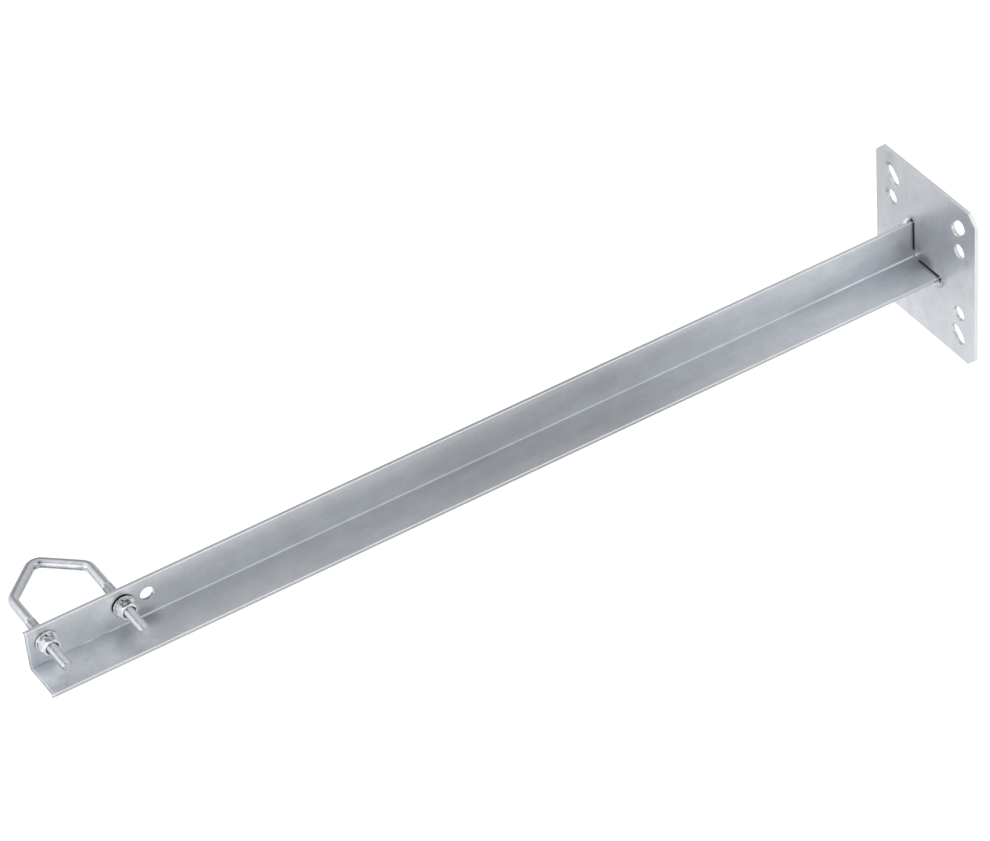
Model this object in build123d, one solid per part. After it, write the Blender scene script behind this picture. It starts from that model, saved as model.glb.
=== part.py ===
from build123d import *
from math import cos, pi, radians, tan
import os

# Wall bracket for an antenna mast, in millimetres.
# The wall face of the plate lies on Y = 0, the arm points along -Y and +Z is up.
# The origin is the middle of the plate, on its wall face.

# Wall plate
plate_width = 120.0
plate_height = 140.0
plate_thickness = 3.0
corner_cut = 8.0

# Fixing holes: one round hole and one slot in each quarter of the plate
round_hole_diameter = 12.0
round_hole_spacing_x = 82.0
round_hole_spacing_z = 58.0
slot_width = 11.0
slot_length = 17.5
slot_spacing_x = 79.5
slot_spacing_z = 99.0
slot_angle = 45.0

# Rolled equal angle that forms the arm
flange_width = 35.0
flange_thickness = 3.0
root_radius = 1.2
toe_radius = 0.5
arm_reach = 745.0
heel_x = -18.3
heel_z = -14.0

# L-shaped cut-out that lets the arm through the plate
cutout_play = 2.1
cutout_corner_radius = 2.5

# Weld round the outside of the angle, and the tack in its inner corner
weld_leg = 5.0
weld_wrap_up = 3.5
weld_wrap_side = 4.8
weld_cover = 1.0
tack_length = 7.0
tack_rise = 0.4

# Holes for the bolt legs in the upright flange, and the spare hole beside them
bolt_line_above_heel = 21.0
tip_to_bolt = 15.0
leg_pitch = 60.0
spare_pitch = 19.0
clamp_hole_diameter = 11.0

# V-bolt: a bent rod with rolled threads
rod_diameter = 7.2
thread_diameter = 8.0
thread_length = 55.0
leg_length = 81.0
vee_depth = 27.0
shoulder_bend = 10.0
apex_bend = 8.0
stud_beyond_nut = 22.0
stud_chamfer = 0.9
thread_runout = 0.35

# Washers and nuts
flat_washer_diameter = 17.5
flat_washer_thickness = 1.5
flat_washer_edge = 0.25
spring_washer_diameter = 14.8
spring_washer_thickness = 1.6
spring_washer_gap = 1.3
spring_washer_gap_lean = 25.0
nut_sides = 6
nut_across_flats = 13.0
nut_height = 6.3
nut_face_diameter = 12.3
nut_chamfer_angle = 30.0
nut_mouth_chamfer = 0.9

# Angles at which the washer gaps and the nuts were left by tightening, from +Y towards +Z
outboard_gap_turn = 95.0
inboard_gap_turn = 103.0
outboard_nut_turn = -3.0
inboard_nut_turn = 6.0

# Clearances on the thread
washer_clearance = 0.25
nut_clearance = 0.05

# Places worked out from the sizes above
inner_face_x = heel_x + flange_thickness
toe_z = heel_z + flange_width
toe_x = heel_x + flange_width
bolt_z = heel_z + bolt_line_above_heel
outboard_leg_y = -(arm_reach - tip_to_bolt)
inboard_leg_y = outboard_leg_y + leg_pitch
spare_hole_y = inboard_leg_y + spare_pitch
stack_height = flat_washer_thickness + spring_washer_thickness + nut_height
stud_end_x = inner_face_x + stack_height + stud_beyond_nut
shoulder_x = stud_end_x - leg_length
quarters = [(side, level) for side in (-1, 1) for level in (-1, 1)]
tool_block = [4 * flange_width] * 3

# Upright drawing plane whose extrusions run from the wall face towards the arm's tip
wall_face = Plane.XZ


def angle_section(play=0.0):
    """Outline of the angle: heel at the lower left, with optional play on its inner side and toes."""
    reach = flange_width + play
    depth = flange_thickness + play
    corners = [(0, 0), (reach, 0), (reach, depth), (depth, depth), (depth, reach), (0, reach)]
    return Pos(heel_x, heel_z) * Polygon(*corners, align=None)


def corner_nearest(sketch, x, z):
    """The corner of a sketch that lies closest to a point."""
    return min(sketch.vertices(), key=lambda corner: (corner.X - x) ** 2 + (corner.Y - z) ** 2)


def rolled_section():
    """The angle's true section: rounded root and inner toe edges, sharp heel."""
    section = angle_section()
    section = fillet(corner_nearest(section, inner_face_x, heel_z + flange_thickness), root_radius)
    section = fillet(corner_nearest(section, inner_face_x, toe_z), toe_radius)
    return fillet(corner_nearest(section, toe_x, heel_z + flange_thickness), toe_radius)


def cutout_section():
    """The plate's cut-out: bears on the angle's outer faces and stands clear on its inner side."""
    section = angle_section(cutout_play)
    top = corner_nearest(section, inner_face_x + cutout_play, toe_z + cutout_play)
    section = fillet(top, cutout_corner_radius)
    side = corner_nearest(section, toe_x + cutout_play, heel_z + flange_thickness + cutout_play)
    return fillet(side, cutout_corner_radius)


def wall_plate():
    outline = Rectangle(plate_width, plate_height)
    outline = chamfer(outline.vertices(), corner_cut)
    for side, level in quarters:
        hole_place = Pos(side * round_hole_spacing_x / 2, level * round_hole_spacing_z / 2)
        slot_place = Pos(side * slot_spacing_x / 2, level * slot_spacing_z / 2)
        outline -= hole_place * Circle(round_hole_diameter / 2)
        outline -= slot_place * SlotOverall(slot_length, slot_width, rotation=side * level * slot_angle)
    outline -= cutout_section()
    return extrude(wall_face * outline, plate_thickness)


def angle_arm():
    arm = extrude(wall_face * rolled_section(), arm_reach)
    for hole_y in (outboard_leg_y, inboard_leg_y, spare_hole_y):
        drill = Cylinder(clamp_hole_diameter / 2, flange_width, rotation=(0, 90, 0))
        arm -= Pos(heel_x + flange_thickness / 2, hole_y, bolt_z) * drill
    return arm


def bead(start, end):
    """A round-ended rod of weld between two points of the joint line."""
    run = Line(start, end)
    rod = sweep(Plane(origin=run @ 0, z_dir=run % 0) * Circle(weld_leg), path=run)
    return rod + Pos(*start) * Sphere(weld_leg) + Pos(*end) * Sphere(weld_leg)


def weld_bead():
    """Fillet weld along both outer faces of the angle, carried round the heel and past both toes."""
    joint_y = -plate_thickness
    heel = (heel_x, joint_y, heel_z)
    weld = bead(heel, (heel_x, joint_y, toe_z + weld_wrap_up - weld_leg))
    weld += bead(heel, (toe_x + weld_wrap_side - weld_leg, joint_y, heel_z))
    in_front = Box(*tool_block, align=(Align.CENTER, Align.MAX, Align.CENTER))
    weld = weld & Pos(0, joint_y, 0) * in_front
    inner_side = Box(*tool_block, align=(Align.MIN, Align.CENTER, Align.MIN))
    weld -= Pos(heel_x + weld_cover, joint_y, heel_z + weld_cover) * inner_side
    return weld - extrude(wall_face * angle_section(), arm_reach)


def weld_tack():
    """Small tack that closes the cut-out's play in the angle's inner corner."""
    corner = Pos(inner_face_x, heel_z + flange_thickness)
    patch = corner * Rectangle(tack_length, tack_length, align=(Align.MIN, Align.MIN))
    gap = (cutout_section() & patch) - rolled_section()
    return extrude(wall_face * gap, plate_thickness + tack_rise)


def turned(*profile):
    """Solid of revolution about the X axis from (distance along X, radius) corners."""
    return revolve(Polygon(*profile, align=None), axis=Axis.X)


def threaded_leg():
    """Thread of one leg, from its pointed end at the origin back along -X to the plain rod."""
    radius = thread_diameter / 2
    return turned(
        (0, 0),
        (0, radius - stud_chamfer),
        (-stud_chamfer, radius),
        (-thread_length + thread_runout, radius),
        (-thread_length, rod_diameter / 2),
        (-thread_length, 0),
    )


def v_bolt():
    """Rod bent in one level plane, with rolled threads of larger diameter on both legs."""
    middle_y = (outboard_leg_y + inboard_leg_y) / 2
    path = FilletPolyline(
        (stud_end_x - stud_chamfer, inboard_leg_y, bolt_z),
        (shoulder_x, inboard_leg_y, bolt_z),
        (shoulder_x - vee_depth, middle_y, bolt_z),
        (shoulder_x, outboard_leg_y, bolt_z),
        (stud_end_x - stud_chamfer, outboard_leg_y, bolt_z),
        radius=[shoulder_bend, apex_bend, shoulder_bend],
    )
    bolt = sweep(Plane(origin=path @ 0, z_dir=path % 0) * Circle(rod_diameter / 2), path=path)
    for leg_y in (outboard_leg_y, inboard_leg_y):
        bolt += Pos(stud_end_x, leg_y, bolt_z) * threaded_leg()
    return bolt


def flat_washer():
    """Punched washer standing on X = 0, with its outward edge rounded off by the punch."""
    inner = thread_diameter / 2 + washer_clearance
    outer = flat_washer_diameter / 2
    return turned(
        (0, inner),
        (0, outer),
        (flat_washer_thickness - flat_washer_edge, outer),
        (flat_washer_thickness, outer - flat_washer_edge),
        (flat_washer_thickness, inner),
    )


def spring_washer(gap_turn):
    """Split lock washer, pressed flat, with a leaning gap in its ring."""
    inner = thread_diameter / 2 + washer_clearance
    outer = spring_washer_diameter / 2
    ring = turned(
        (0, inner),
        (0, outer),
        (spring_washer_thickness, outer),
        (spring_washer_thickness, inner),
    )
    saw = Box(outer, outer, spring_washer_gap, align=(Align.CENTER, Align.MIN, Align.CENTER))
    middle = Pos(spring_washer_thickness / 2, 0, 0)
    return ring - Rot(gap_turn, 0, 0) * middle * Rot(0, spring_washer_gap_lean, 0) * saw


def hex_nut(turn):
    """Hexagon nut standing on X = 0, chamfered at its corners and at the mouths of its thread."""
    bore = thread_diameter / 2 + nut_clearance
    mouth = bore + nut_mouth_chamfer
    face = nut_face_diameter / 2
    corner = nut_across_flats / 2 / cos(pi / nut_sides)
    slope = (corner - face) * tan(radians(nut_chamfer_angle))
    blank = turned(
        (nut_mouth_chamfer, bore),
        (0, mouth),
        (0, face),
        (slope, corner),
        (nut_height - slope, corner),
        (nut_height, face),
        (nut_height, mouth),
        (nut_height - nut_mouth_chamfer, bore),
    )
    hexagon = Rot(0, 0, turn) * RegularPolygon(corner, nut_sides, major_radius=True)
    return blank & extrude(Plane.YZ * hexagon, nut_height)


parts = {
    "wall_plate": wall_plate(),
    "angle_arm": angle_arm(),
    "weld_bead": weld_bead(),
    "weld_tack": weld_tack(),
    "v_bolt": v_bolt(),
}

# Each leg carries, from the flange outwards, a plain washer, a spring washer and a nut
legs = (
    ("outboard", outboard_leg_y, outboard_gap_turn, outboard_nut_turn),
    ("inboard", inboard_leg_y, inboard_gap_turn, inboard_nut_turn),
)
for name, leg_y, gap_turn, nut_turn in legs:
    seat = inner_face_x
    for piece, height, solid in (
        ("flat_washer", flat_washer_thickness, flat_washer()),
        ("spring_washer", spring_washer_thickness, spring_washer(gap_turn)),
        ("hex_nut", nut_height, hex_nut(nut_turn)),
    ):
        parts[f"{name}_{piece}"] = Pos(seat, leg_y, bolt_z) * solid
        seat += height

os.makedirs("parts", exist_ok=True)
for node, solid in parts.items():
    export_step(solid, f"parts/{node}.step")
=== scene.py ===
import bmesh
import bpy
from math import cos, hypot, pi, radians, sin, tan
from mathutils import Euler, Matrix, Vector


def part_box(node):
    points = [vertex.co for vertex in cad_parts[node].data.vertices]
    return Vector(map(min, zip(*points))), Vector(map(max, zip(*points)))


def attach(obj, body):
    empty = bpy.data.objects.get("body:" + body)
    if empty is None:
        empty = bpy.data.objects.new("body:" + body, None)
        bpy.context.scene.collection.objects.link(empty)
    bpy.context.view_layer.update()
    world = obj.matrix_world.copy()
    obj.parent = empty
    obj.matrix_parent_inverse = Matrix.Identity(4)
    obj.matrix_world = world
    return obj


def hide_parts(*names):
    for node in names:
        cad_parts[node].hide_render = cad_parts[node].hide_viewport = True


# Wall bracket for an antenna mast: the finish of every piece, round the solids of the frame.
# The wall face of the plate lies on Y = 0, the arm points along -Y and +Z is up.

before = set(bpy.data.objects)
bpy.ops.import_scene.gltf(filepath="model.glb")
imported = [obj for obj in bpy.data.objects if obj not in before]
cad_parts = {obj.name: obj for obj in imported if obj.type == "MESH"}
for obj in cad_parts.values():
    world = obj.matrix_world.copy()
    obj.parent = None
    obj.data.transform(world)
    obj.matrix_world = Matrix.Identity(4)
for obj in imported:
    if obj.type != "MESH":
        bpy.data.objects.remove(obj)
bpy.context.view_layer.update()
mm = 0.001

# Camera
camera_place = (2.08933, -1.54052, 2.06441)
view_azimuth = 62.399
view_elevation = 40.596
view_roll = -6.073
lens_length = 162.779
sensor_width = 36.0
picture_shift = (0.09, 0.028)
clip_start = 0.05
clip_end = 50.0

# Angle: its flanges, how far round their axis its holes reach, and how far round the angle the
# plate's cut-out reaches
flange_thickness = 3.0 * mm
hole_reach = 6.0 * mm
cutout_reach = 3.0 * mm

# The plate's outer edge starts past this share of its half width or half height
plate_edge_share = 0.9

# The widest part of a nut's thread mouth, which is painted shade
mouth_radius = 5.0 * mm

# A face looks along an axis when its normal's share of that axis is above one of these
leaning = 0.1
half_facing = 0.5
facing = 0.9
flat_facing = 0.97

# Faces this close to a side of the angle lie on it
touching = 0.01 * mm

# Points this close are merged: on a solid, on a thread, and where rod and thread meet
solid_merge = 0.001 * mm
thread_merge = 0.002 * mm
bolt_merge = 0.005 * mm

# Broken edges, as widths of the bevel, and the turns in degrees that count as flat and as sharp
sheet_edge = 0.35 * mm
rolled_edge = 0.3 * mm
fastener_edge = 0.15 * mm
tack_edge = 0.35 * mm
flat_angle = 1.0
sharp_angle = 35.0

# Clamp bolt. The photo shows its plain part nearly as thick as its thread, so it stands 0.3 mm
# proud of the solid all round.
rod_radius = 3.9 * mm
leg_length = 81.0 * mm
vee_depth = 27.0 * mm
shoulder_bend = 10.0 * mm
apex_bend = 8.0 * mm
bend_steps = 12
bolt_sides = 48

# Thread, with its crest's flat and its flank as shares of half a pitch, and its phase at the
# leg's end in turns
thread_radius = 4.0 * mm
thread_pitch = 1.25 * mm
thread_depth = 0.62 * mm
thread_length = 55.0 * mm
thread_chamfer = 0.9 * mm
thread_runout = 2.0 * mm
thread_steps = 8
crest_flat = 0.12
flank_run = 0.66
crest_phase = 0.5001

# Weld and its ripples: they rise where the weld's face is free, as shares of its leg, lean with
# the depth, wander with the noise and have sharp troughs
weld_leg = 5.0 * mm
ripple_pitch = 1.7 * mm
ripple_height = 0.3 * mm
ripple_slice = 0.42 * mm
ripple_free = (0.8, 0.97)
ripple_foot = 0.3
ripple_lean = 0.5
ripple_wander = 0.5
ripple_sharpness = 0.6
ripple_middle = 0.8

# Colours of the finishes, as (light, dark)
sheet_colours = ((0.645, 0.665, 0.704), (0.537, 0.558, 0.597))
arm_colours = ((0.795, 0.83, 0.87), (0.675, 0.705, 0.745))
toe_colours = ((0.695, 0.72, 0.757), (0.615, 0.64, 0.675))
slit_colours = ((0.72, 0.74, 0.775), (0.64, 0.66, 0.695))
# Painted highlight on the rounded inner edges of the arm's toes
toe_glint_colours = ((1.0, 1.0, 1.0), (0.85, 0.86, 0.87))
cut_colours = ((1.0, 1.0, 1.0), (0.9, 0.91, 0.92))
punched_colours = ((0.9, 0.92, 0.95), (0.5, 0.51, 0.54))
drilled_colours = ((0.46, 0.475, 0.5), (0.18, 0.185, 0.2))
# Painted shade in the gap of the plate's cut-out round the arm
gap_shade_colours = ((0.07, 0.065, 0.06), (0.03, 0.03, 0.032))
bolt_colours = ((0.62, 0.637, 0.665), (0.55, 0.567, 0.595))
thread_colours = ((0.66, 0.68, 0.71), (0.6, 0.62, 0.65))
stud_end_colours = ((0.56, 0.57, 0.59), (0.44, 0.45, 0.47))
nut_colours = ((1.0, 1.0, 1.0), (0.7, 0.715, 0.74))
# Painted shade on the nuts' upper flats: dark on the inboard nut, lighter on the outboard one
shaded_flat_colours = ((0.6, 0.61, 0.64), (0.1, 0.103, 0.11))
lightly_shaded_flat_colours = ((0.8, 0.81, 0.83), (0.3, 0.31, 0.33))
# Painted shade in the nuts' thread mouths
mouth_shade_colours = ((0.12, 0.122, 0.128), (0.04, 0.04, 0.043))
washer_colours = ((1.0, 1.0, 1.0), (0.78, 0.79, 0.81))
# Painted shade on the plain washers' rims: grey on the outboard one, near black on the inboard one
shaded_rim_colours = ((0.8, 0.81, 0.83), (0.4, 0.41, 0.43))
shadow_rim_colours = ((0.035, 0.035, 0.04), (0.02, 0.02, 0.022))
spring_rim_colours = ((0.8, 0.82, 0.84), (0.3, 0.31, 0.33))
weld_colours = ((0.92, 0.93, 0.95), (0.4, 0.415, 0.44))
tack_colours = ((0.62, 0.64, 0.68), (0.26, 0.27, 0.29))

# How metallic the zinc is
zinc_metal = 0.65
narrow_metal = 0.35
sheared_metal = 0.4
sawn_metal = 0.0
punched_metal = 0.5
drilled_metal = 1.0
thread_metal = 0.9
fastener_metal = 0.55
weld_metal = 0.6

# How rough the finishes are before their patterns add to it
rolled_roughness = 0.28
cut_roughness = 0.45
punched_roughness = 0.3
crevice_roughness = 0.9
crevice_specular = 0.1
bolt_roughness = 0.14
nut_roughness = 0.14
flat_roughness = 0.16
washer_roughness = 0.16
rim_roughness = 0.2
dull_roughness = 0.3
weld_roughness = 0.18

# Bumps of the finishes, as (distance, strength)
rolled_relief = (0.1 * mm, 0.5)
cut_relief = (0.05 * mm, 0.4)
punched_relief = (0.04 * mm, 0.5)
crevice_relief = (0.1 * mm, 1.0)
plated_relief = (0.08 * mm, 0.5)
bent_relief = (0.08 * mm, 0.2)
weld_relief = (0.12 * mm, 0.7)

# The levels of a finish's clouds between which it goes from its dark to its light colour
rolled_contrast = (0.34, 0.66)
contrast = (0.35, 0.65)

# Patterns in the finishes, as (scale, detail, roughness) of the noise
rolled_clouds = (55.0, 5.0, 0.65)
rolled_mottle = (420.0, 3.0, 0.6)
rolled_grain = (1600.0, 2.0)
cut_clouds = (220.0, 3.0)
cut_grain = (2400.0, 2.0)
punched_clouds = (260.0, 3.0)
crevice_specks = (900.0, 3.0)
plated_clouds = (420.0, 3.0)
plated_grain = (3000.0, 2.0)
weld_lumps = (900.0, 4.0, 0.6)
ripple_lumps = (500.0, 2.0)
spot_rags = (160.0, 3.0, 0.6)

# Patterns that are drawn out along one axis, as (scales along X, Y and Z, detail, roughness)
streaks_up_plate = ((110.0, 110.0, 48.0), 4.0, 0.6)
streaks_along_arm = ((110.0, 18.0, 110.0), 4.0, 0.6)
scores_through_hole = ((1400.0, 120.0, 1400.0), 2.0, 0.5)

# Painted light and shade on the zinc, as (share of the way, level): up the plate, and along the arm
# from the wall to the tip, on the open flanges and along their root, where it is a painted
# highlight that reaches this far from the root
plate_painted_light = (
    (0.0, 1.0), (0.2, 1.0), (0.35, 0.97), (0.48, 0.84), (0.65, 0.77), (0.8, 0.75), (1.0, 0.78))
arm_painted_light = (
    (0.0, 0.97), (0.04, 0.98), (0.1, 0.92), (0.21, 0.84), (0.36, 0.65), (0.51, 0.655),
    (0.66, 0.72), (0.8, 0.755), (0.95, 0.82))
root_painted_light = (
    (0.0, 0.82), (0.04, 0.86), (0.1, 0.86), (0.21, 0.88), (0.36, 0.76), (0.51, 0.7),
    (0.66, 0.76), (0.8, 0.73), (0.95, 0.82))
root_highlight_reach = 22.0 * mm

# Soft spots on the zinc as (middle, radius, how much darker), in millimetres: on the plate smudges
# with painted light and shade, on the arm's open faces painted light and shade and a speck, along
# its root painted highlight and shade, and on the clamp bolt's rod painted reflections and shade
plate_smudges_and_shade = (
    ((-43.5, -3.0, 56.0), 4.2, 0.6),
    ((-45.6, -3.0, 31.5), 3.6, 0.4),
    ((-43.0, -3.0, 64.5), 6.0, 0.16),
    ((-31.5, -3.0, 7.5), 1.6, 0.7),
    ((-28.5, -3.0, 8.2), 1.6, 0.7),
    # From here on: brighter spots on the painted reflection of the arm's root, painted shade beside
    # the root, and broad painted light and shade
    ((-11.0, -3.0, -5.5), 2.8, -0.22),
    ((-7.5, -3.0, -2.5), 2.8, -0.16),
    ((2.0, -3.0, -5.5), 8.0, 0.4),
    ((-5.0, -3.0, -6.0), 5.0, 0.3),
    ((-9.5, -3.0, 0.5), 5.0, 0.2),
    ((48.0, -3.0, 12.0), 15.0, -0.14),
    ((-1.0, -3.0, 22.0), 12.0, 0.1),
    ((50.0, -3.0, 40.0), 26.0, -0.1),
)
arm_shade_and_speck = (
    # Painted light and shade round the washers and nuts, their painted reflections in the lower
    # flange, and painted shade near the wall
    ((-15.3, -705.0, 6.0), 11.0, 0.03),
    ((-15.3, -684.0, 7.0), 11.0, -0.25),
    ((-15.3, -711.0, 15.0), 11.0, 0.04),
    ((-15.3, -672.0, 18.0), 12.0, -0.2),
    ((-11.0, -655.0, -9.0), 10.0, 0.26),
    ((0.0, -720.0, -11.0), 16.0, -0.15),
    ((2.0, -667.0, -11.0), 13.0, -0.28),
    ((-2.0, -737.0, -11.0), 13.0, -0.45),
    ((2.0, -700.0, -11.0), 16.0, -0.12),
    ((-15.3, -8.0, 6.0), 12.0, 0.08),
    ((-4.0, -6.0, -11.0), 7.0, 0.22),
    # A dark speck on the zinc
    ((-16.5, -738.4, -11.0), 1.6, 0.6),
)
root_highlight_and_shade = (
    # Painted shade on the root near the studs, and a painted highlight on it near the wall
    ((-15.0, -736.0, -11.0), 13.0, 0.35),
    ((-15.0, -712.0, -11.0), 13.0, 0.35),
    ((-15.0, -690.0, -11.0), 10.0, 0.35),
    ((-15.0, -4.0, -11.0), 26.0, -0.8),
    ((-15.0, -50.0, -11.0), 40.0, -0.3),
)
bolt_reflections_and_shade = (
    # Painted reflections on the rod: dark spots at the apex bend and a brighter band along the limb
    # towards the inboard leg
    ((-85.8, -696.5, 9.0), 2.0, 0.5),
    ((-84.6, -700.5, 7.2), 1.8, 0.6),
    ((-82.2, -694.3, 8.1), 3.6, -0.2),
    ((-80.2, -692.1, 8.1), 3.6, -0.2),
    ((-78.3, -690.0, 8.1), 3.6, -0.2),
    ((-76.4, -687.9, 8.1), 3.6, -0.2),
    ((-74.5, -685.8, 8.1), 3.6, -0.2),
    ((-72.5, -683.6, 8.0), 3.6, -0.2),
    ((-70.6, -681.5, 8.0), 3.6, -0.2),
    ((-68.7, -679.4, 7.9), 3.6, -0.2),
    ((-66.8, -677.3, 7.8), 3.6, -0.2),
)

# How ragged a spot's border is, and the shares of its radius between which it grows
spot_raggedness = 1.2
spot_border = (1.3, 0.2)

# Painted reflection of the arm's bright root on the plate, a line which carries on from the root:
# its start and end across and up the plate in millimetres, its half width, how much brighter it is,
# and the shares of its run over which it starts and fades away
reflection_line_start = (-15.3, -11.0)
reflection_line_end = (1.5, 4.6)
reflection_line_width = 0.9
reflection_line_strength = 0.75
reflection_line_head = (-0.1, 0.0)
reflection_line_tail = (1.0, 0.2)

# Painted shadow on the arm along the outboard upper rim of each plain washer: the radii in
# millimetres between which it grows, the side that it lies on along the arm and up, the shares of
# that side between which it grows, and its strengths on the outboard and inboard leg
washer_shadow_radii = (9.4, 8.9)
washer_shadow_side = (-0.55, 0.83)
washer_shadow_ends = (0.3, 0.8)
washer_shadow_strengths = (0.5, 0.9)

# Painted highlight and painted shade in bands beside the sawn tip: where they grow, in
# millimetres from the tip, and how strong they are
tip_glint_inner, tip_glint_outer, tip_glint_strength = (0.7, 1.2), (2.4, 1.6), 0.4
tip_shade_border, tip_shade_strength = (0.8, 0.4), 0.25

# How far in front of the plate the painted shade of its cut-out darkens the arm
gap_shade_reach = 0.35 * mm

# Places read from the frame
arm_low, arm_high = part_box("angle_arm")
arm_inner_x = arm_low.x + flange_thickness
arm_inner_z = arm_low.z + flange_thickness
plate_low, plate_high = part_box("wall_plate")
plate_thickness = plate_high.y - plate_low.y
bolt_low, bolt_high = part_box("v_bolt")
stud_end_x = bolt_high.x
bolt_z = (bolt_low.z + bolt_high.z) / 2
leg_ys = [
    sum(corner.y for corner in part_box(f"{side}_hex_nut")) / 2 for side in ("outboard", "inboard")]


class Value:
    """An output of a node. Python's operators join values into Math nodes."""

    def __init__(self, graph, socket):
        self.graph = graph
        self.socket = socket

    def __add__(self, other):
        return self.graph.math("ADD", self, other)

    def __sub__(self, other):
        return self.graph.math("SUBTRACT", self, other)

    def __mul__(self, other):
        return self.graph.math("MULTIPLY", self, other)

    def __truediv__(self, other):
        return self.graph.math("DIVIDE", self, other)

    def __pow__(self, other):
        return self.graph.math("POWER", self, other)

    def __rsub__(self, other):
        return self.graph.math("SUBTRACT", other, self)

    __radd__ = __add__
    __rmul__ = __mul__


class Made:
    """A node that was added, whose outputs are read by name or number."""

    def __init__(self, graph, node):
        self.graph = graph
        self.node = node

    def __getitem__(self, name):
        return Value(self.graph, self.graph.pick(self.node.outputs, name))


class Graph:
    """A node tree, filled by one method."""

    def __init__(self, tree):
        self.tree = tree

    def add(self, kind, settings=None, sockets=None):
        """A new node: its settings first, then the values or links of its sockets."""
        node = self.tree.nodes.new(kind)
        for name, value in (settings or {}).items():
            if name == "stops":
                self.set_stops(node.color_ramp, value)
            else:
                setattr(node, name, value)
        for name, value in (sockets or {}).items():
            self.feed(self.pick(node.inputs, name), value)
        return Made(self, node)

    def pick(self, sockets, name):
        """The socket in use that has this name, or this number."""
        if isinstance(name, int):
            return sockets[name]
        return next(socket for socket in sockets if socket.name == name and socket.enabled)

    def feed(self, socket, value):
        """Links a value to a socket, or sets a plain number or colour on it."""
        if isinstance(value, Value):
            self.tree.links.new(value.socket, socket)
        else:
            socket.default_value = value

    def set_stops(self, ramp, stops):
        for number, (position, colour) in enumerate(stops):
            stop = ramp.elements[number] if number < 2 else ramp.elements.new(position)
            stop.position = position
            stop.color = colour

    def math(self, operation, *values, clamp=False):
        settings = {"operation": operation, "use_clamp": clamp}
        return self.add("ShaderNodeMath", settings, dict(enumerate(values)))["Value"]

    def between(self, value, low, high):
        """Rises smoothly from 0 at low to 1 at high."""
        settings = {"interpolation_type": "SMOOTHSTEP"}
        sockets = {"Value": value, "From Min": low, "From Max": high}
        return self.add("ShaderNodeMapRange", settings, sockets)["Result"]

    def vector(self, x, y, z):
        return self.add("ShaderNodeCombineXYZ", None, {"X": x, "Y": y, "Z": z})["Vector"]

    def parts(self, vector):
        made = self.add("ShaderNodeSeparateXYZ", None, {"Vector": vector})
        return made["X"], made["Y"], made["Z"]

    def vector_math(self, operation, sockets, result="Vector"):
        return self.add("ShaderNodeVectorMath", {"operation": operation}, sockets)[result]

    def scaled(self, vector, factor):
        """A colour or vector times a number."""
        return self.vector_math("SCALE", {"Vector": vector, "Scale": factor})

    def length(self, x, y, z=0.0):
        return self.vector_math("LENGTH", {"Vector": self.vector(x, y, z)}, "Value")

    def noise(self, place, scale, detail, roughness=0.5):
        sockets = {"Vector": place, "Scale": scale, "Detail": detail, "Roughness": roughness}
        return self.add("ShaderNodeTexNoise", None, sockets)[0]

    def drawn_out(self, place, scales, detail, roughness):
        """Noise with its own scale along each axis, so that it is drawn out along one."""
        sockets = {"Vector": place, "Scale": scales}
        stretched = self.add("ShaderNodeMapping", {"vector_type": "POINT"}, sockets)["Vector"]
        return self.noise(stretched, 1.0, detail, roughness)

    def mix(self, share, first, second):
        sockets = {"Factor": share, "A": first, "B": second}
        return self.add("ShaderNodeMix", {"data_type": "RGBA"}, sockets)["Result"]


def emptied(owner):
    """The graph of a material or world, with no nodes in it."""
    owner.use_nodes = True
    owner.node_tree.nodes.clear()
    return Graph(owner.node_tree)


# Materials


def new_surface(name):
    """An empty material with its graph, its shader and the place on the piece."""
    material = bpy.data.materials.new(name)
    graph = emptied(material)
    shader = graph.add("ShaderNodeBsdfPrincipled")
    graph.add("ShaderNodeOutputMaterial", None, {"Surface": shader["BSDF"]})
    place = graph.add("ShaderNodeTexCoord")["Object"]
    return material, graph, shader.node, place


def coat(graph, shader, colour, metal, roughness):
    """Sets or links the shader's main sockets."""
    graph.feed(shader.inputs["Base Color"], colour)
    graph.feed(shader.inputs["Metallic"], metal)
    graph.feed(shader.inputs["Roughness"], roughness)


def raise_bumps(graph, shader, height, relief):
    """Gives the shader bumps of a height pattern."""
    distance, strength = relief
    sockets = {"Height": height, "Distance": distance, "Strength": strength}
    graph.feed(shader.inputs["Normal"], graph.add("ShaderNodeBump", None, sockets)["Normal"])


def tint(graph, share, colours):
    """The colour of a finish, from its dark at 0 to its light at 1."""
    light, dark = colours
    return graph.mix(share, (*dark, 1.0), (*light, 1.0))


def tone(graph, share, stops):
    """A level of painted light that follows its stops along the way."""
    grey = [(position, (level, level, level, 1.0)) for position, level in stops]
    return graph.add("ShaderNodeValToRGB", {"stops": grey}, {"Fac": share})["Color"]


def smudge_and_shade_level(graph, place, marks_and_shade):
    """The share of brightness left under ragged soft spots: smudges, painted light and painted
    shade.
    """
    rags = (graph.noise(place, *spot_rags) - 0.5) * spot_raggedness
    level = 1.0
    for middle, radius, strength in marks_and_shade:
        point = tuple(size * mm for size in middle)
        distance = graph.vector_math("DISTANCE", {0: place, 1: point}, "Value")
        ragged = distance / (radius * mm) + rags
        level = (1 - graph.between(ragged, *spot_border) * strength) * level
    return level


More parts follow.
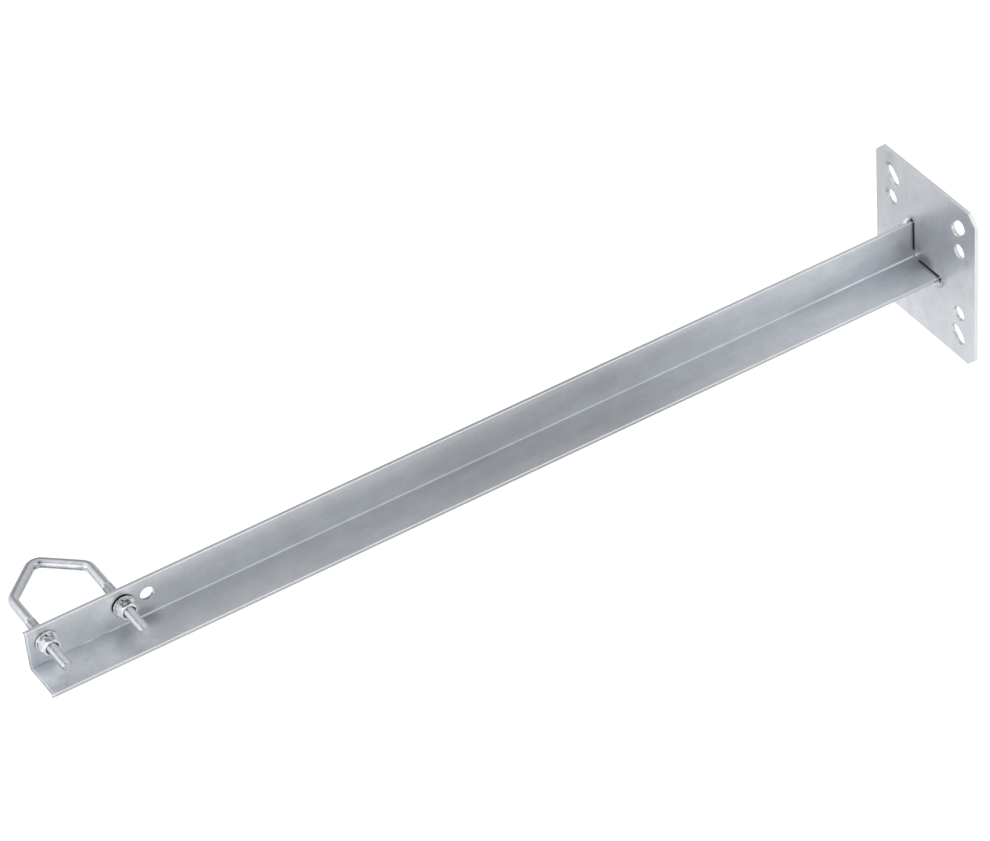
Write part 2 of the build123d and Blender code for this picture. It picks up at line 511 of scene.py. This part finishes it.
def root_reflection_gain(graph, place):
    """How much brighter the painted reflection line of the arm's root makes the zinc."""
    x, _, z = graph.parts(place)
    across, up = x / mm - reflection_line_start[0], z / mm - reflection_line_start[1]
    run_across, run_up = reflection_line_end[0] - reflection_line_start[0], reflection_line_end[1] - reflection_line_start[1]
    run = hypot(run_across, run_up)
    share = (across * run_across + up * run_up) / run ** 2
    aside = graph.math("ABSOLUTE", (across * run_up - up * run_across) / run)
    fading = graph.between(share, *reflection_line_tail) * graph.between(share, *reflection_line_head)
    return graph.between(aside, reflection_line_width, 0.0) * fading * reflection_line_strength + 1


def plate_light_and_marks(graph, place):
    """Painted light and shade on the plate's zinc, with its smudges and the painted reflection of
    the arm's root.
    """
    share = (graph.parts(place)[2] - plate_low.z) / (plate_high.z - plate_low.z)
    level = tone(graph, share, plate_painted_light) * smudge_and_shade_level(graph, place, plate_smudges_and_shade)
    return level * root_reflection_gain(graph, place)


def tip_glint_and_shade(graph, y):
    """The painted highlight and painted shade in bands beside the sawn tip."""
    from_tip = (y - arm_low.y) / mm
    tip_glint = graph.between(from_tip, *tip_glint_inner) * graph.between(from_tip, *tip_glint_outer)
    tip_shade = graph.between(from_tip, *tip_shade_border)
    return tip_glint * tip_glint_strength - tip_shade * tip_shade_strength + 1


def washer_shadow_level(graph, y, z):
    """The share of brightness left under the painted shadows along the plain washers' rims."""
    level = 1.0
    for leg_y, strength in zip(leg_ys, washer_shadow_strengths):
        along, up = (y - leg_y) / mm, (z - bolt_z) / mm
        outwards = graph.length(along, up)
        side = (along * washer_shadow_side[0] + up * washer_shadow_side[1]) / outwards
        line = graph.between(outwards, *washer_shadow_radii) * graph.between(side, *washer_shadow_ends)
        level = (1 - line * strength) * level
    return level


def arm_light_and_marks(marks_and_shade):
    """Painted light and shade on the arm's zinc, which differs along its length, a painted
    highlight towards its root, the tip's painted highlight and shade, the washers' painted shadows
    and the given spots.
    """
    def level(graph, place):
        x, y, z = graph.parts(place)
        share = y / arm_low.y
        from_root = graph.length(x - arm_inner_x, z - arm_inner_z)
        near_root = graph.between(from_root, root_highlight_reach, 0.0)
        open_level = tone(graph, share, arm_painted_light)
        rolled_level = open_level + (tone(graph, share, root_painted_light) - open_level) * near_root
        marks = tip_glint_and_shade(graph, y) * washer_shadow_level(graph, y, z)
        return rolled_level * smudge_and_shade_level(graph, place, marks_and_shade) * marks
    return level


def rolled_zinc(name, colours, streak_pattern, metal, level=None, in_gap=False):
    """Galvanised rolled steel: cloudy zinc with faint wipe marks along the rolling direction, times
    the given level of painted light and shade, and with painted shade in the gap of the cut-out.
    """
    material, graph, shader, place = new_surface(name)
    clouds = graph.noise(place, *rolled_clouds)
    mottle = graph.noise(place, *rolled_mottle)
    grain = graph.noise(place, *rolled_grain)
    streaks = graph.drawn_out(place, *streak_pattern)
    cloudy = clouds * 0.4 + mottle * 0.25 + streaks * 0.35
    zinc = tint(graph, graph.between(cloudy, *rolled_contrast), colours)
    if level:
        zinc = graph.scaled(zinc, level(graph, place))
    if in_gap:
        plate_front = -plate_thickness
        shade_in_gap = graph.between(graph.parts(place)[1], plate_front - gap_shade_reach, plate_front)
        zinc = graph.mix(shade_in_gap, zinc, (*gap_shade_colours[1], 1.0))
        metal = metal - shade_in_gap * metal
    coat(graph, shader, zinc, metal, rolled_roughness + clouds * 0.08 + grain * 0.04)
    raise_bumps(graph, shader, clouds * 0.35 + streaks * 0.08 + grain * 0.01, rolled_relief)
    return material


def cut_zinc(name, metal):
    """Zinc on a sheared or sawn edge: whiter and duller than the rolled faces."""
    material, graph, shader, place = new_surface(name)
    clouds = graph.noise(place, *cut_clouds)
    grain = graph.noise(place, *cut_grain)
    coat(graph, shader, tint(graph, clouds, cut_colours), metal, cut_roughness + grain * 0.1)
    raise_bumps(graph, shader, grain, cut_relief)
    return material


def punched_zinc(name, colours, metal):
    """Zinc on the wall of a punched or drilled hole: grey and lightly scored through the sheet."""
    material, graph, shader, place = new_surface(name)
    clouds = graph.noise(place, *punched_clouds)
    scores = graph.drawn_out(place, *scores_through_hole)
    zinc = tint(graph, graph.between(clouds * 0.6 + scores * 0.4, *contrast), colours)
    coat(graph, shader, zinc, metal, punched_roughness + clouds * 0.1)
    raise_bumps(graph, shader, scores, punched_relief)
    return material


def painted_gap_shade(name):
    """Painted shade in the narrow gap of the cut-out."""
    material, graph, shader, place = new_surface(name)
    specks = graph.noise(place, *crevice_specks)
    coat(graph, shader, tint(graph, specks, gap_shade_colours), 0.0, crevice_roughness)
    shader.inputs["Specular IOR Level"].default_value = crevice_specular
    raise_bumps(graph, shader, specks, crevice_relief)
    return material


def bright_zinc(name, colours, roughness, metal=1.0, relief=plated_relief, marks_and_shade=()):
    """Bright zinc plating on the fasteners, scaled by painted reflections and shade where spots are
    given.
    """
    material, graph, shader, place = new_surface(name)
    clouds = graph.noise(place, *plated_clouds)
    grain = graph.noise(place, *plated_grain)
    zinc = tint(graph, graph.between(clouds, *contrast), colours)
    if marks_and_shade:
        zinc = graph.scaled(zinc, smudge_and_shade_level(graph, place, marks_and_shade))
    coat(graph, shader, zinc, metal, roughness + clouds * 0.08)
    raise_bumps(graph, shader, clouds * 0.12 + grain * 0.03, relief)
    return material


def weld_zinc(name, colours):
    """Zinc over lumpy weld metal, crossed by the painted reflection line of the arm's root."""
    material, graph, shader, place = new_surface(name)
    lumps = graph.noise(place, *weld_lumps)
    zinc = tint(graph, graph.between(lumps, *contrast), colours)
    zinc = graph.scaled(zinc, root_reflection_gain(graph, place))
    coat(graph, shader, zinc, weld_metal, weld_roughness + lumps * 0.2)
    raise_bumps(graph, shader, lumps, weld_relief)
    return material


# The rolled zinc of the plate, the arm, its toes and its root is scaled by painted light and shade
sheet_finish = rolled_zinc(
    "sheet_zinc", sheet_colours, streaks_up_plate, zinc_metal, plate_light_and_marks)
angle_finish = rolled_zinc(
    "angle_zinc", arm_colours, streaks_along_arm, zinc_metal, arm_light_and_marks(arm_shade_and_speck), in_gap=True)
toe_finish = rolled_zinc(
    "toe_zinc", toe_colours, streaks_along_arm, narrow_metal, arm_light_and_marks(()), in_gap=True)
# The root's faces, with a painted highlight towards the wall and painted shade near the studs
root_highlight_finish = rolled_zinc(
    "root_highlight_zinc", arm_colours, streaks_along_arm, zinc_metal, arm_light_and_marks(root_highlight_and_shade), in_gap=True)
toe_glint_finish = rolled_zinc("toe_glint_zinc", toe_glint_colours, streaks_along_arm, narrow_metal)
slit_finish = rolled_zinc("slit_zinc", slit_colours, streaks_along_arm, narrow_metal)
punched_finish = punched_zinc("punched_zinc", punched_colours, punched_metal)
drilled_finish = punched_zinc("drilled_zinc", drilled_colours, drilled_metal)
gap_shade_finish = painted_gap_shade("crevice")
cut_finish = cut_zinc("cut_edge_zinc", sheared_metal)
sawn_finish = cut_zinc("sawn_end_zinc", sawn_metal)
bolt_finish = bright_zinc(
    "bolt_zinc", bolt_colours, bolt_roughness, relief=bent_relief, marks_and_shade=bolt_reflections_and_shade)
thread_finish = bright_zinc("thread_zinc", thread_colours, bolt_roughness, thread_metal)
stud_end_finish = bright_zinc("stud_end_zinc", stud_end_colours, dull_roughness)
nut_finish = bright_zinc("nut_zinc", nut_colours, nut_roughness, fastener_metal)
shaded_flat_finish = bright_zinc("nut_upper_flat_shade", shaded_flat_colours, flat_roughness)
lightly_shaded_flat_finish = bright_zinc("nut_upper_flat_light_shade", lightly_shaded_flat_colours, flat_roughness)
mouth_shade_finish = bright_zinc("thread_mouth_shade", mouth_shade_colours, dull_roughness)
washer_finish = bright_zinc("washer_zinc", washer_colours, washer_roughness, fastener_metal)
shaded_rim_finish = bright_zinc("shaded_washer_rim_zinc", shaded_rim_colours, rim_roughness)
shadow_rim_finish = bright_zinc("shadow_rim_zinc", shadow_rim_colours, dull_roughness)
spring_rim_finish = bright_zinc("spring_rim_zinc", spring_rim_colours, washer_roughness)
weld_finish = weld_zinc("weld_zinc", weld_colours)
tack_finish = weld_zinc("tack_zinc", tack_colours)


# Pieces


def baked(piece):
    """A piece's mesh with its modifiers worked in."""
    evaluated = piece.evaluated_get(bpy.context.evaluated_depsgraph_get())
    return bpy.data.meshes.new_from_object(evaluated)


def finish_piece(piece, node):
    """Bakes the modifiers and stands the piece for its node."""
    mesh = baked(piece)
    piece.modifiers.clear()
    piece.data = mesh
    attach(piece, "root")
    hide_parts(node)


def new_piece(name, shape, *finishes):
    """Turns a bmesh into an object with its finishes, smooth but for its sharp edges."""
    mesh = bpy.data.meshes.new(name)
    shape.to_mesh(mesh)
    shape.free()
    mesh.shade_smooth()
    mesh.set_sharp_from_angle(angle=radians(sharp_angle))
    piece = bpy.data.objects.new(name, mesh)
    bpy.context.scene.collection.objects.link(piece)
    for finish in finishes:
        mesh.materials.append(finish)
    return piece


def solid_of(node):
    """A merged copy of a node's mesh, with its flat faces whole again."""
    shape = bmesh.new()
    shape.from_mesh(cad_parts[node].data)
    bmesh.ops.remove_doubles(shape, verts=shape.verts, dist=solid_merge)
    bmesh.ops.dissolve_limit(
        shape, angle_limit=radians(flat_angle), verts=shape.verts, edges=shape.edges)
    for face in shape.faces:
        face.material_index = 0
    return shape


def break_edges(piece, width, segments=3):
    bevel = piece.modifiers.new("broken edges", "BEVEL")
    bevel.width = width
    bevel.segments = segments
    bevel.limit_method = "ANGLE"
    bevel.angle_limit = radians(sharp_angle)
    bevel.use_clamp_overlap = False
    bevel.harden_normals = True


def at_cutout(middle):
    """Whether a place lies as near the arm as the plate's cut-out does."""
    return (arm_low.x - cutout_reach < middle.x < arm_high.x + cutout_reach
            and arm_low.z - cutout_reach < middle.z < arm_high.z + cutout_reach)


def plate_sheet():
    """The plate: rolled faces, outer edges sheared at the sides and slit at top and bottom,
    punched holes and painted shade in the gap round the arm."""
    finishes = (sheet_finish, cut_finish, slit_finish, punched_finish, gap_shade_finish)
    rolled, sheared, slit, punched, gap = range(len(finishes))
    shape = solid_of("wall_plate")
    for face in shape.faces:
        middle = face.calc_center_median()
        outwards = max(abs(middle.x) / plate_high.x, abs(middle.z) / plate_high.z)
        if abs(face.normal.y) > half_facing:
            face.material_index = rolled
        elif outwards > plate_edge_share:
            face.material_index = sheared if abs(face.normal.x) > half_facing else slit
        else:
            face.material_index = gap if at_cutout(middle) else punched
    piece = new_piece("plate_sheet", shape, *finishes)
    break_edges(piece, sheet_edge)
    finish_piece(piece, "wall_plate")
    for face in piece.data.polygons:
        if at_cutout(face.center) and abs(face.normal.y) < flat_facing:
            face.material_index = gap


def arm_angle():
    """The angle: rolled faces, matte toes, painted highlights on the toes' rounded edges and on
    the root, sawn ends and drilled holes.
    """
    finishes = (angle_finish, sawn_finish, toe_finish, drilled_finish, root_highlight_finish, toe_glint_finish)
    rolled, sawn, toe, drilled, root, toe_glint = range(len(finishes))
    shape = solid_of("angle_arm")
    for face in shape.faces:
        middle = face.calc_center_median()
        in_flange = arm_low.x + touching < middle.x < arm_inner_x - touching
        if abs(face.normal.y) > facing:
            face.material_index = sawn
        elif max(middle.x - arm_high.x, middle.z - arm_high.z) > -touching:
            face.material_index = toe
        elif in_flange and abs(middle.z - bolt_z) < hole_reach:
            face.material_index = drilled
        elif min(face.normal.x, face.normal.z) > leaning:
            face.material_index = root if max(middle.x, middle.z) < 0 else toe_glint
        else:
            face.material_index = rolled
    piece = new_piece("arm_angle", shape, *finishes)
    break_edges(piece, rolled_edge)
    finish_piece(piece, "angle_arm")


def fastener(name, node, shape, finishes):
    """A washer or nut from its marked shape."""
    piece = new_piece(name, shape, *finishes)
    break_edges(piece, fastener_edge, 2)
    finish_piece(piece, node)


def washer(name, node, rim_coat_and_shade):
    """A washer with its own finish on its rim, which on the plain washers is painted shade."""
    finishes = (washer_finish, rim_coat_and_shade)
    side, rim = range(len(finishes))
    shape = solid_of(node)
    for face in shape.faces:
        face.material_index = rim if abs(face.normal.x) < facing else side
    fastener(name, node, shape, finishes)


def nut(name, node, flat_shade):
    """A nut with its own finishes on its upper flat and in its thread's mouth, both painted shade.
    """
    finishes = (nut_finish, flat_shade, mouth_shade_finish)
    side, upper_flat, mouth = range(len(finishes))
    shape = solid_of(node)
    low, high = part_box(node)
    for face in shape.faces:
        middle = face.calc_center_median()
        from_axis = hypot(middle.y - (low.y + high.y) / 2, middle.z - bolt_z)
        if from_axis < mouth_radius and abs(face.normal.x) < facing:
            face.material_index = mouth
        else:
            face.material_index = upper_flat if face.normal.z > facing else side
    fastener(name, node, shape, finishes)


def new_tree(name, sockets):
    """The graph of an empty geometry tree with these inputs."""
    tree = bpy.data.node_groups.new(name, "GeometryNodeTree")
    for label, kind in sockets.items():
        tree.interface.new_socket(name=label, in_out="INPUT", socket_type=f"NodeSocket{kind}")
    tree.interface.new_socket(name="Geometry", in_out="OUTPUT", socket_type="NodeSocketGeometry")
    return Graph(tree)


def close_tree(graph, geometry, material):
    """Ends a geometry tree with real geometry and its material, and returns it."""
    real = graph.add("GeometryNodeRealizeInstances", None, {"Geometry": geometry})
    sockets = {"Geometry": real["Geometry"], "Material": material}
    painted = graph.add("GeometryNodeSetMaterial", None, sockets)
    graph.add("NodeGroupOutput", None, {"Geometry": painted["Geometry"]})
    return graph.tree


def grow(piece, tree, sizes):
    """Gives a piece a geometry tree with these sizes."""
    modifier = piece.modifiers.new("shape", "NODES")
    modifier.node_group = tree
    for socket in tree.interface.items_tree:
        if socket.name in sizes:
            modifier[socket.identifier] = sizes[socket.name]


def thread_tree():
    """Rolled thread round the X axis, from a chamfered end at 0 back along -X to the plain rod."""
    graph = new_tree("rolled_thread", {
        "Radius": "Float", "Depth": "Float", "Pitch": "Float", "Length": "Float",
        "Chamfer": "Float", "Runout": "Float", "Rod radius": "Float", "Sides": "Int",
        "Material": "Material"})
    given = graph.add("NodeGroupInput")
    turns = graph.math("CEIL", given["Length"] / given["Pitch"]) + 1
    grid = graph.add("GeometryNodeMeshGrid", None, {
        "Size X": 1.0, "Size Y": 1.0,
        "Vertices X": given["Sides"] + 1, "Vertices Y": turns * thread_steps + 1})
    # The grid has its middle at 0. Its width becomes the way round and its height the turns.
    x, y, _ = graph.parts(graph.add("GeometryNodeInputPosition")["Position"])
    round_share = x + 0.5
    turn = (y + 0.5) * turns
    depth_in = graph.math("MAXIMUM", (turn - round_share) * given["Pitch"], 0)
    along = graph.math("MINIMUM", depth_in, given["Length"])
    from_crest = graph.math("ABSOLUTE", graph.math("FRACT", turn + crest_phase) - 0.5) * 2
    groove = graph.math("DIVIDE", from_crest - crest_flat, flank_run, clamp=True)
    ridged = given["Radius"] - groove * given["Depth"]
    fade = graph.math("DIVIDE", given["Length"] - along, given["Runout"], clamp=True)
    threaded = given["Rod radius"] + (ridged - given["Rod radius"]) * fade
    end_radius = given["Radius"] - given["Chamfer"]
    radius = graph.math("MINIMUM", threaded, end_radius + along)
    angle = round_share * (2 * pi)
    place = graph.vector(
        along * -1, graph.math("COSINE", angle) * radius, graph.math("SINE", angle) * radius)
    wound = graph.add("GeometryNodeSetPosition", None, {
        "Geometry": grid["Mesh"], "Position": place})
    end = graph.add("GeometryNodeMeshCircle", {"fill_type": "NGON"}, {
        "Vertices": given["Sides"], "Radius": end_radius})
    turned = graph.add("GeometryNodeTransform", None, {
        "Geometry": end["Mesh"], "Rotation": (pi / 2, 0, pi / 2)})
    joined = graph.add("GeometryNodeJoinGeometry")
    for made in (wound, turned):
        graph.feed(joined.node.inputs["Geometry"], made["Geometry"])
    merged = graph.add("GeometryNodeMergeByDistance", None, {
        "Geometry": joined["Geometry"], "Distance": thread_merge})
    return close_tree(graph, merged["Geometry"], given["Material"])


def overshoot(graph, value, run):
    """How far a value lies outside the stretch from 0 to run."""
    return value - graph.math("MINIMUM", graph.math("MAXIMUM", value, 0), run)


def ripple_tree():
    """Crescent ripples on the free face of a fillet weld that runs up and along from its heel."""
    graph = new_tree("weld_ripples", {
        "Geometry": "Geometry", "Heel": "Vector", "Upright run": "Float", "Level run": "Float",
        "Leg": "Float", "Pitch": "Float", "Height": "Float", "Material": "Material"})
    given = graph.add("NodeGroupInput")
    place = graph.add("GeometryNodeInputPosition")["Position"]
    x, y, z = graph.parts(graph.vector_math("SUBTRACT", {0: place, 1: given["Heel"]}))
    from_upright = graph.length(x, y, overshoot(graph, z, given["Upright run"]))
    from_level = graph.length(z, y, overshoot(graph, x, given["Level run"]))
    height = graph.math("MINIMUM", from_upright, from_level) / given["Leg"]
    off_plate = graph.between(graph.math("ABSOLUTE", y), 0.0, given["Leg"] * ripple_foot)
    free = graph.between(height, *ripple_free) * off_plate
    run = graph.math("MAXIMUM", x, z) + y * ripple_lean
    phase = run / given["Pitch"] + graph.noise(place, *ripple_lumps) * ripple_wander
    wave = graph.math("ABSOLUTE", graph.math("SINE", phase * pi)) ** ripple_sharpness
    rise = (wave - ripple_middle) * free * given["Height"]
    push = graph.scaled(graph.add("GeometryNodeInputNormal")["Normal"], rise)
    rippled = graph.add("GeometryNodeSetPosition", None, {
        "Geometry": given["Geometry"], "Offset": push})
    return close_tree(graph, rippled["Geometry"], given["Material"])


def bolt_path():
    """Points of the bolt's centre line between its threads, each with its direction."""
    start_x = stud_end_x - thread_length
    shoulder_x = stud_end_x - leg_length
    first_y, last_y = leg_ys
    middle_y = (first_y + last_y) / 2
    corners = [
        Vector((start_x, first_y, bolt_z)),
        Vector((shoulder_x, first_y, bolt_z)),
        Vector((shoulder_x - vee_depth, middle_y, bolt_z)),
        Vector((shoulder_x, last_y, bolt_z)),
        Vector((start_x, last_y, bolt_z)),
    ]
    bends = [shoulder_bend, apex_bend, shoulder_bend]
    path = [(corners[0], (corners[1] - corners[0]).normalized())]
    for before, corner, after, bend in zip(corners, corners[1:], corners[2:], bends):
        inward = (corner - before).normalized()
        outward = (after - corner).normalized()
        turn = inward.angle(outward)
        side = (outward - inward * inward.dot(outward)).normalized()
        start = corner - inward * bend * tan(turn / 2)
        for step in range(bend_steps + 1):
            angle = turn * step / bend_steps
            place = start + inward * bend * sin(angle) + side * bend * (1 - cos(angle))
            path.append((place, inward * cos(angle) + side * sin(angle)))
    path.append((corners[-1], (corners[-1] - corners[-2]).normalized()))
    return path


def bent_rod():
    """Skin of the plain rod, open at both ends where the threads begin."""
    shape = bmesh.new()
    rings = []
    up = Vector((0, 0, 1))
    for place, direction in bolt_path():
        side = up.cross(direction)
        ring = []
        for step in range(bolt_sides):
            angle = 2 * pi * step / bolt_sides
            outward = side * cos(angle) + up * sin(angle)
            ring.append(shape.verts.new(place + outward * rod_radius))
        rings.append(ring)
    for ring, following in zip(rings, rings[1:]):
        for step in range(bolt_sides):
            nearest = (step + 1) % bolt_sides
            corners = (ring[step], following[step], following[nearest], ring[nearest])
            shape.faces.new(corners)
    return shape


def rolled_thread():
    """Mesh of one leg's thread, with its end at the origin."""
    model = new_piece("thread_model", bmesh.new())
    grow(model, thread_tree(), {
        "Radius": thread_radius, "Depth": thread_depth, "Pitch": thread_pitch,
        "Length": thread_length, "Chamfer": thread_chamfer, "Runout": thread_runout,
        "Rod radius": rod_radius, "Sides": bolt_sides, "Material": bolt_finish})
    thread = baked(model)
    bpy.data.objects.remove(model)
    return thread


def clamp_bolt():
    """Bent rod with a real thread on each leg, as one closed mesh."""
    finishes = (bolt_finish, stud_end_finish, thread_finish)
    rod, stud_end, thread = range(len(finishes))
    shape = bent_rod()
    thread_mesh = rolled_thread()
    for leg_y in leg_ys:
        leg = thread_mesh.copy()
        leg.transform(Matrix.Translation((stud_end_x, leg_y, bolt_z)))
        shape.from_mesh(leg)
    bmesh.ops.remove_doubles(shape, verts=shape.verts, dist=bolt_merge)
    bmesh.ops.recalc_face_normals(shape, faces=shape.faces)
    for face in shape.faces:
        if face.normal.x > facing:
            face.material_index = stud_end
        elif face.calc_center_median().x > arm_inner_x:
            face.material_index = thread
        else:
            face.material_index = rod
    piece = new_piece("clamp_bolt", shape, *finishes)
    finish_piece(piece, "v_bolt")


def rippled_weld():
    """The weld bead, sliced finely enough to carry its ripples."""
    shape = solid_of("weld_bead")
    low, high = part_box("weld_bead")
    for axis in (Vector((1, 0, 0)), Vector((0, 0, 1))):
        slices = int((high - low) @ axis / ripple_slice)
        for number in range(1, slices):
            whole = shape.verts[:] + shape.edges[:] + shape.faces[:]
            cut = low + axis * ripple_slice * number
            bmesh.ops.bisect_plane(shape, geom=whole, plane_co=cut, plane_no=axis)
    bmesh.ops.triangulate(shape, faces=shape.faces)
    piece = new_piece("rippled_weld", shape, weld_finish)
    grow(piece, ripple_tree(), {
        "Heel": (arm_low.x, -plate_thickness, arm_low.z), "Leg": weld_leg,
        "Upright run": high.z - arm_low.z - weld_leg, "Level run": high.x - arm_low.x - weld_leg,
        "Pitch": ripple_pitch, "Height": ripple_height, "Material": weld_finish})
    finish_piece(piece, "weld_bead")


def corner_tack():
    piece = new_piece("corner_tack", solid_of("weld_tack"), tack_finish)
    break_edges(piece, tack_edge)
    finish_piece(piece, "weld_tack")


plate_sheet()
arm_angle()
clamp_bolt()
# The plain washers' rims and the nuts' upper flats get painted shade, milder on the outboard side
for side, washer_rim_shade, nut_flat_shade in (
        ("outboard", shaded_rim_finish, lightly_shaded_flat_finish),
        ("inboard", shadow_rim_finish, shaded_flat_finish)):
    washer(f"{side}_plain_washer", f"{side}_flat_washer", washer_rim_shade)
    washer(f"{side}_lock_washer", f"{side}_spring_washer", spring_rim_finish)
    nut(f"{side}_nut", f"{side}_hex_nut", nut_flat_shade)
rippled_weld()
corner_tack()


# Studio

floor_drop = 0.6
floor_size = 14.0
floor_grey = 0.75
floor_lift = 0.5

# Soft light of the room: one level all round, and lamps as (direction, radius in degrees, level
# added), where a level below 0 is an unlit side of the room
room_level = 0.8
lamps = (
    ((0.53, -0.85, 0.0), 50.0, 0.7),
    ((-0.58, -0.58, -0.58), 50.0, 0.2),
    ((-0.58, -0.58, 0.58), 50.0, 0.6),
    ((-0.93, 0.0, -0.36), 50.0, 0.3),
    ((0.93, 0.0, -0.36), 50.0, 0.9),
    ((0.93, 0.0, 0.36), 50.0, 0.35),
    ((-0.93, 0.0, 0.36), 50.0, -0.45),
    ((0.58, -0.58, -0.58), 50.0, -0.65),
    ((0.58, 0.58, -0.58), 50.0, -0.5),
    ((0.67, -0.36, 0.65), 32.0, -0.8),
    ((-0.2, -0.96, 0.15), 18.0, 4.5),
)


def studio_floor():
    """Pale floor below the bracket, which keeps the shadow and is white where it is looked at."""
    half = floor_size / 2
    shape = bmesh.new()
    corners = ((-half, -half), (half, -half), (half, half), (-half, half))
    shape.faces.new([shape.verts.new((x, y, -floor_drop)) for x, y in corners])
    material = bpy.data.materials.new("floor_paint")
    graph = emptied(material)
    paint = graph.add("ShaderNodeBsdfDiffuse", None, {
        "Color": (floor_grey, floor_grey, floor_grey, 1.0)})
    rays = graph.add("ShaderNodeLightPath")
    lift = graph.add("ShaderNodeEmission", None, {
        "Color": (1, 1, 1, 1), "Strength": rays["Is Camera Ray"] * floor_lift})
    both = graph.add("ShaderNodeAddShader", None, {0: paint["BSDF"], 1: lift["Emission"]})
    clear = graph.add("ShaderNodeBsdfTransparent")
    shown = graph.add("ShaderNodeMixShader", None, {
        0: rays["Is Glossy Ray"], 1: both["Shader"], 2: clear["BSDF"]})
    graph.add("ShaderNodeOutputMaterial", None, {"Surface": shown["Shader"]})
    new_piece("floor", shape, material)


def studio_light():
    """Even white light from all round, with soft lamps and the unlit side of the room."""
    world = bpy.data.worlds.new("studio")
    bpy.context.scene.world = world
    graph = emptied(world)
    direction = graph.add("ShaderNodeTexCoord")["Generated"]
    level = room_level
    for toward, radius, amount in lamps:
        sockets = {0: direction, 1: tuple(Vector(toward).normalized())}
        nearness = graph.vector_math("DOT_PRODUCT", sockets, "Value")
        level = graph.between(nearness, cos(radians(radius)), 1) * amount + level
    seen = graph.add("ShaderNodeLightPath")["Is Camera Ray"]
    background = graph.add("ShaderNodeBackground", None, {
        "Color": (1, 1, 1, 1), "Strength": graph.math("MAXIMUM", level, seen)})
    graph.add("ShaderNodeOutputWorld", None, {"Surface": background["Background"]})


def studio_camera():
    camera = bpy.data.objects.new("camera", bpy.data.cameras.new("camera"))
    bpy.context.scene.collection.objects.link(camera)
    camera.location = camera_place
    aim = Euler((radians(90 - view_elevation), 0, radians(view_azimuth))).to_matrix()
    camera.rotation_euler = (aim @ Matrix.Rotation(radians(view_roll), 3, "Z")).to_euler()
    camera.data.lens = lens_length
    camera.data.sensor_width = sensor_width
    camera.data.shift_x, camera.data.shift_y = picture_shift
    camera.data.clip_start = clip_start
    camera.data.clip_end = clip_end
    bpy.context.scene.camera = camera


studio_floor()
studio_light()
studio_camera()
bpy.context.scene.view_settings.view_transform = "Standard"
